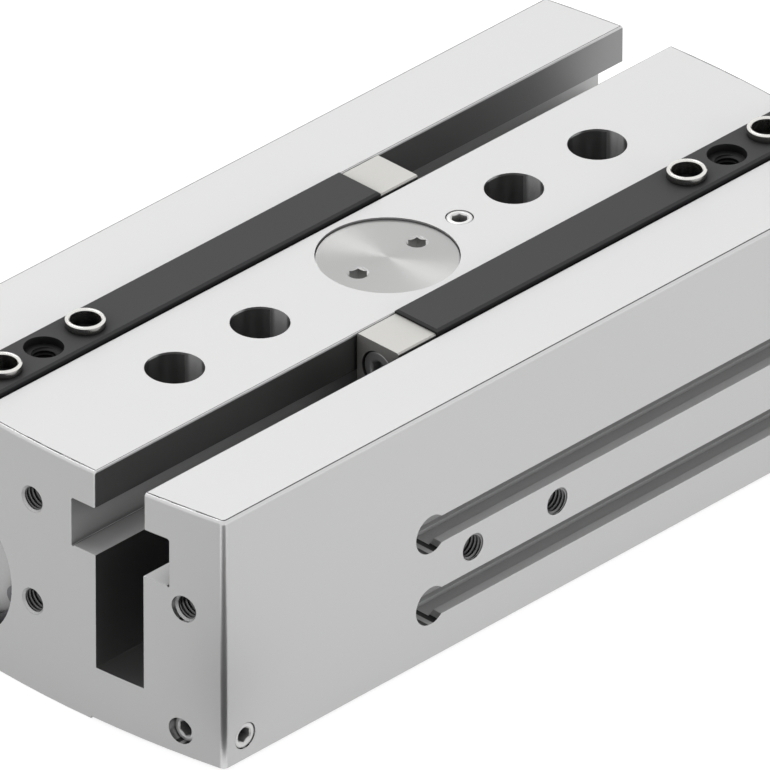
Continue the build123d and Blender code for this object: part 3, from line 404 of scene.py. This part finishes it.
def countersink(top, depth):
    """The countersink at a thread's mouth, as a ring that lines the hole and narrows from its wall at
    the top to the thread's crests."""
    start()
    wall = ROOT_RADIUS + 0.01 * MM
    bpy.ops.mesh.primitive_cylinder_add(vertices=64, radius=wall, depth=depth, end_fill_type="NGON",
                                        location=(0, 0, -top - depth / 2))
    ring = bpy.context.object
    bpy.ops.object.transform_apply(location=True, rotation=True, scale=True)
    pick(ring, lambda centre, normal: abs(normal.z) > 0.9)
    bpy.ops.mesh.delete(type="FACE")
    bpy.ops.mesh.select_mode(type="EDGE")
    bpy.ops.object.mode_set(mode="OBJECT")
    low = -top - depth
    for edge in ring.data.edges:
        edge.select = all(abs(ring.data.vertices[v].co.z - low) < 1e-7 for v in edge.vertices)
    bpy.ops.object.mode_set(mode="EDIT")
    bpy.ops.mesh.extrude_edges_move()
    inwards = CREST_RADIUS / wall
    bpy.ops.transform.resize(value=(inwards, inwards, 1))
    bpy.ops.mesh.select_all(action="SELECT")
    bpy.ops.mesh.select_non_manifold(extend=False)
    bpy.ops.mesh.bridge_edge_loops()
    bpy.ops.mesh.select_all(action="SELECT")
    bpy.ops.mesh.normals_make_consistent(inside=False)
    smooth()
    return ring


def lead_in(hex_width, at=(0, 0, 0)):
    """The cone that opens a hexagonal socket's mouth to a round, 15 % wider at the face than its corners."""
    corner = hex_width / 2 / cos(pi / 6)
    bpy.ops.mesh.primitive_cone_add(vertices=48, radius1=0, radius2=2.3 * corner, depth=1.6 * corner,
                                    location=at)
    return bpy.context.object


def socket_head(radius, length, edge, hex_width, hex_depth, shank=None):
    """A round head that faces up from the origin, with a bevelled rim and a hexagonal socket, and
    below it a shank of the radius and length given."""
    start()
    bpy.ops.mesh.primitive_cylinder_add(vertices=6, radius=hex_width / 2 / cos(pi / 6), depth=2 * hex_depth,
                                        location=(0, 0, 0))
    key = bpy.context.object
    bpy.ops.object.transform_apply(location=True, rotation=True, scale=True)
    pick(key, lambda centre, normal: normal.z < -0.9)
    bpy.ops.mesh.extrude_region_shrink_fatten(TRANSFORM_OT_shrink_fatten={"value": 0.3 * hex_width})
    bpy.ops.transform.resize(value=(0.1, 0.1, 1))
    bpy.ops.object.mode_set(mode="OBJECT")
    start()
    bpy.ops.mesh.primitive_cylinder_add(vertices=64, radius=radius, depth=length,
                                        location=(0, 0, -length / 2))
    head = bpy.context.object
    bpy.ops.object.transform_apply(location=True, rotation=True, scale=True)
    apply_modifier(head, "BEVEL", width=edge, segments=3, limit_method="ANGLE")
    if shank:
        pick(head, lambda centre, normal: normal.z < -0.99)
        bpy.ops.mesh.inset(thickness=radius - edge - shank[0])
        bpy.ops.mesh.extrude_region_move(TRANSFORM_OT_translate={"value": (0, 0, -shank[1])})
        bpy.ops.object.mode_set(mode="OBJECT")
    cut_to_shape(head, key)
    cut_to_shape(head, lead_in(hex_width))
    apply_modifier(head, "BEVEL", width=0.035 * hex_width, segments=2, limit_method="ANGLE",
                   angle_limit=radians(50))
    bpy.ops.object.mode_set(mode="EDIT")
    bpy.ops.mesh.select_all(action="SELECT")
    bpy.ops.mesh.normals_make_consistent(inside=False)
    smooth()
    return head


def pinion_cover():
    """The turned cover, with its bush's hub below and the mouths of its two key holes opened by cones."""
    low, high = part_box("pinion_cover")
    radius, thickness, rim = high[0], 3.8 * MM, 0.2 * MM
    hub_radius, bush_radius, bush_depth = 7.5 * MM, 5.52 * MM, 3.8 * MM
    key_width, key_depth = 3 * MM, 2.2 * MM
    start()
    bpy.ops.mesh.primitive_cylinder_add(vertices=128, radius=radius, depth=thickness,
                                        location=(0, 0, high[2] - thickness / 2))
    piece = bpy.context.object
    piece.name = "turned_cover"
    bpy.ops.object.transform_apply(location=True, rotation=True, scale=True)
    apply_modifier(piece, "BEVEL", width=rim, segments=3, limit_method="ANGLE")
    pick(piece, lambda centre, normal: normal.z < -0.99)
    bpy.ops.mesh.inset(thickness=radius - rim - hub_radius)
    bpy.ops.mesh.extrude_region_move(TRANSFORM_OT_translate={"value": (0, 0, low[2] + thickness - high[2])})
    bpy.ops.mesh.inset(thickness=hub_radius - bush_radius)
    bpy.ops.mesh.extrude_region_move(TRANSFORM_OT_translate={"value": (0, 0, bush_depth)})
    bpy.ops.object.mode_set(mode="OBJECT")
    for side in (-1, 1):
        spot = Vector((side * KEY_HOLE_X, 0, high[2]))
        start()
        bpy.ops.mesh.primitive_cylinder_add(vertices=6, radius=key_width / 2 / cos(pi / 6),
                                            depth=2 * key_depth, location=spot, rotation=(0, 0, KEY_TURN))
        cut_to_shape(piece, bpy.context.object)
        cut_to_shape(piece, lead_in(key_width, spot))
    bpy.ops.object.mode_set(mode="EDIT")
    bpy.ops.mesh.select_all(action="SELECT")
    bpy.ops.mesh.normals_make_consistent(inside=False)
    smooth(12)
    piece.data.materials.clear()
    piece.data.materials.append(finishes["turned_aluminium"])
    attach(piece, "housing")
    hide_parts("pinion_cover")


PLUG_LENGTH = 5 * MM
PLUG_KEY = 2.5 * MM
SCREW_HEAD_RADIUS = 3.5 * MM
SCREW_KEY = 3 * MM


def duct_plugs():
    """The grub plugs of the air ducts, as deep in their holes as the record's nodes are."""
    low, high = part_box("end_duct_plugs")
    radius, z = (high[2] - low[2]) / 2, (low[2] + high[2]) / 2
    ends = {"left_end_plug": facing((-1, 0, 0), (low[0], low[1] + radius, z)),
            "right_end_plug": facing((1, 0, 0), (high[0], high[1] - radius, z))}
    low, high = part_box("side_duct_plugs")
    z = (low[2] + high[2]) / 2
    sides = {"front_side_plug": facing((0, -1, 0), (low[0] + radius, low[1], z)),
             "rear_side_plug": facing((0, 1, 0), (high[0] - radius, high[1], z))}
    low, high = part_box("top_duct_plug")
    beside_cover = Matrix.Translation(((low[0] + high[0]) / 2, (low[1] + high[1]) / 2, high[2]))
    tops = {"pinion_side_plug": beside_cover @ Matrix.Rotation(KEY_TURN, 4, "Z")}
    for node, places, edge in (("end_duct_plugs", ends, 0.3 * MM), ("side_duct_plugs", sides, 0.3 * MM),
                               ("top_duct_plug", tops, 0.5 * MM)):
        plug = socket_head(radius, PLUG_LENGTH, edge, PLUG_KEY, PLUG_KEY)
        put_copies(plug, places, "housing", "plated_steel", node)


def driver_screws():
    """The two cap screws that hold each driver to its jaw, with their shanks."""
    for side, sign in (("left", 1), ("right", -1)):
        low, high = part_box(f"driver_screws_{side}")
        face = high[0] if sign > 0 else low[0]
        middle = (low[1] + high[1]) / 2
        lower = (face, middle, low[2] + SCREW_HEAD_RADIUS)
        upper = (face, middle, high[2] - SCREW_HEAD_RADIUS)
        places = {f"driver_screw_{side}_lower": facing((sign, 0, 0), lower),
                  f"driver_screw_{side}_upper": facing((sign, 0, 0), upper)}
        screw = socket_head(SCREW_HEAD_RADIUS, 4 * MM, 0.35 * MM, SCREW_KEY, 2 * MM,
                            shank=(1.98 * MM, 13 * MM))
        put_copies(screw, places, f"jaw_{side}", "dark_screw", f"driver_screws_{side}")


COUNTERSINK = 0.45 * MM
END_THREAD_TURNS = 9
FINGER_THREAD_TURNS = 8
# The crowned end falls away across the corner thread: its mouth starts at this X and is whole this far down
CORNER_MOUTH_X = 82.63 * MM
CORNER_MOUTH_SLOPE = 0.42 * MM
# The finger threads start below the seats of the centring sleeves
SLEEVE_SEAT = 1.5 * MM


def port_threads():
    """The threads of the four air ports, in the side faces."""
    ports = {}
    low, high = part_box("housing")
    for side, side_y in (("front", low[1]), ("rear", high[1])):
        for row in ("inner", "outer"):
            mount = mounts[f"{side}_air_port_{row}"]
            x, _, z = mount["pos_m"]
            ports[f"port_thread_{side}_{row}"] = facing(mount["axis"], (x, side_y, z))
    crest = thread_crest(0.3 * MM, END_THREAD_TURNS)
    put_copies(crest, ports, "housing", "anodised_body", finish="cut_thread")


def end_threads():
    """The threads of the end faces: two one above the other, and one near the corner, each with its
    countersink."""
    low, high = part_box("housing")
    spacing = mounts["left_end_threads"]["dims"]["spacing_y_mm"] * MM
    for spot, mount_name, rise, whole in (("upper", "end_threads", spacing / 2, 0),
                                          ("lower", "end_threads", -spacing / 2, 0),
                                          ("corner", "end_thread_corner", 0, CORNER_MOUTH_SLOPE)):
        places, cones = {}, {}
        for side, end_x in (("left", low[0]), ("right", high[0])):
            mount = mounts[f"{side}_{mount_name}"]
            _, y, z = mount["pos_m"]
            mouth_x = CORNER_MOUTH_X * mount["axis"][0] if spot == "corner" else end_x
            place = facing(mount["axis"], (mouth_x, y, z + rise))
            places[f"{side}_end_thread_{spot}"] = place
            cones[f"{side}_end_countersink_{spot}"] = place
        crest = thread_crest(whole + COUNTERSINK, END_THREAD_TURNS)
        put_copies(crest, places, "housing", "anodised_body", finish="cut_thread")
        put_copies(countersink(whole, COUNTERSINK), cones, "housing", "anodised_body",
                   finish="anodised_mouth")


def finger_threads():
    """The three threads in each jaw, two of them under the centring sleeves."""
    for side, sign in (("left", 1), ("right", -1)):
        mount = mounts[f"jaw_{side}_finger_threads"]
        middle_x, y, _ = mount["pos_m"]
        step = sign * mount["dims"]["spacing_x_mm"] * MM / 2
        places = {}
        for number, x in enumerate((middle_x - step, middle_x, middle_x + step), 1):
            place = facing(mount["axis"], (x, y, JAW_TOP - SLEEVE_SEAT))
            places[f"jaw_{side}_finger_thread_{number}"] = place
        put_copies(thread_crest(0.02 * MM, FINGER_THREAD_TURNS), places, f"jaw_{side}", "hardened_jaw")


# Stage

TOWARDS_CAMERA = Vector((-0.57, -0.82, 0))
NEAR_CORNER = Vector((-0.0826, -0.041, 0.0001))
FLOOR_GLOW = 0.85
WORLD_LIGHT = 0.45


def add_lamp(name, size, place, target, watts):
    """A softbox that lights the gripper from place and is seen in no reflection."""
    data = bpy.data.lights.new(name, "AREA")
    data.shape, data.size, data.size_y = "RECTANGLE", size[0], size[1]
    data.energy = watts
    lamp = bpy.data.objects.new(name, data)
    bpy.context.scene.collection.objects.link(lamp)
    lamp.location = place
    lamp.visible_glossy = False
    lamp.rotation_euler = (Vector(target) - Vector(place)).to_track_quat("-Z", "Y").to_euler()


def add_card(name, size, place, towards, glow):
    """A dark or bright card seen only in reflections, for the rounded edges and the turned cover."""
    start()
    bpy.ops.mesh.primitive_plane_add(size=1, location=(0, 0, 0))
    card = bpy.context.object
    card.name = name
    forward = Vector(towards).normalized()
    side = TOWARDS_CAMERA.cross(forward).normalized()
    turn = Matrix((side, forward.cross(side), forward)).transposed().to_4x4()
    card.data.transform(Matrix.Translation(place) @ turn @ Matrix.Diagonal((*size, 1, 1)))
    card.visible_camera = card.visible_diffuse = card.visible_shadow = card.visible_transmission = False
    card.data.materials.append(new_material(name, "#000000", 0.0, 1.0, Specular_IOR_Level=0.0,
                                            Emission_Color=linear("#ffffff"), Emission_Strength=glow)[0])


def for_seen_rays(tree):
    """1 for the rays that look at the backdrop, straight or in a reflection, and 0 for its light."""
    rays = add_node(tree, "ShaderNodeLightPath").outputs
    seen = add_node(tree, "ShaderNodeMath", [(0, rays["Is Camera Ray"]), (1, rays["Is Glossy Ray"])],
                    operation="MAXIMUM")
    seen = add_node(tree, "ShaderNodeMath", [(0, seen.outputs[0]), (1, rays["Is Transmission Ray"])],
                    operation="MAXIMUM")
    return seen.outputs[0]


def set_floor():
    """A white floor that keeps the gripper's soft shadow."""
    start()
    bpy.ops.mesh.primitive_plane_add(size=12, location=(0, 0, -0.0001))
    floor = bpy.context.object
    floor.name = "studio_floor"
    material, tree, shader = new_material("studio_floor_white", "#8c8c8c", 0.0, 0.9, Specular_IOR_Level=0.0,
                                          Emission_Color=linear("#ffffff"))
    glow = add_node(tree, "ShaderNodeMath", [(0, for_seen_rays(tree))], [(1, FLOOR_GLOW)],
                    operation="MULTIPLY")
    tree.links.new(glow.outputs[0], shader.inputs["Emission Strength"])
    # Seen from below the floor lets everything through, so that the underside can be looked at
    below = add_node(tree, "ShaderNodeNewGeometry").outputs["Backfacing"]
    clear = add_node(tree, "ShaderNodeBsdfTransparent").outputs[0]
    mix = add_node(tree, "ShaderNodeMixShader", [("Fac", below), (1, shader.outputs[0]), (2, clear)])
    tree.links.new(mix.outputs[0], tree.nodes["Material Output"].inputs["Surface"])
    floor.data.materials.append(material)


def set_world():
    """A white backdrop all round, of which only a part is light on the gripper."""
    world = bpy.data.worlds.new("studio")
    bpy.context.scene.world = world
    world.use_nodes = True
    tree = world.node_tree
    light = tree.nodes["Background"]
    light.inputs["Color"].default_value = linear("#ffffff")
    light.inputs["Strength"].default_value = WORLD_LIGHT
    white = add_node(tree, "ShaderNodeBackground", Color=linear("#ffffff"), Strength=1.0)
    mix = add_node(tree, "ShaderNodeMixShader",
                   [("Fac", for_seen_rays(tree)), (1, light.outputs[0]), (2, white.outputs[0])])
    tree.links.new(mix.outputs[0], tree.nodes["World Output"].inputs["Surface"])


def set_lights():
    """Softboxes above, in front and at the left, a dark card that the upright corner mirrors, and a
    bright one that the turned cover fans into wedges."""
    add_lamp("top_softbox", (1.6, 1.6), (0.3, 0.5, 1.6), (0, 0, 0), 23.5)
    add_lamp("front_softbox", (1.0, 0.5), (0.5, -1.4, 0.3), (0, 0, 0.02), 8.6)
    add_lamp("left_softbox", (0.5, 0.4), (-1.4, -0.3, 0.3), (0, 0, 0.02), 2.0)
    add_card("floor_card", (0.08, 0.1), NEAR_CORNER + TOWARDS_CAMERA * 0.054, (0, 0, 1), 0.05)
    add_card("bright_card", (0.8, 0.8), (0.09, 0.91, 1.49), (-0.09, -0.91, -1.49), 4.8)


set_camera()
finish_nodes()
pinion_cover()
duct_plugs()
driver_screws()
port_threads()
end_threads()
finger_threads()
set_floor()
set_world()
set_lights()
bpy.context.scene.view_settings.view_transform = "Standard"
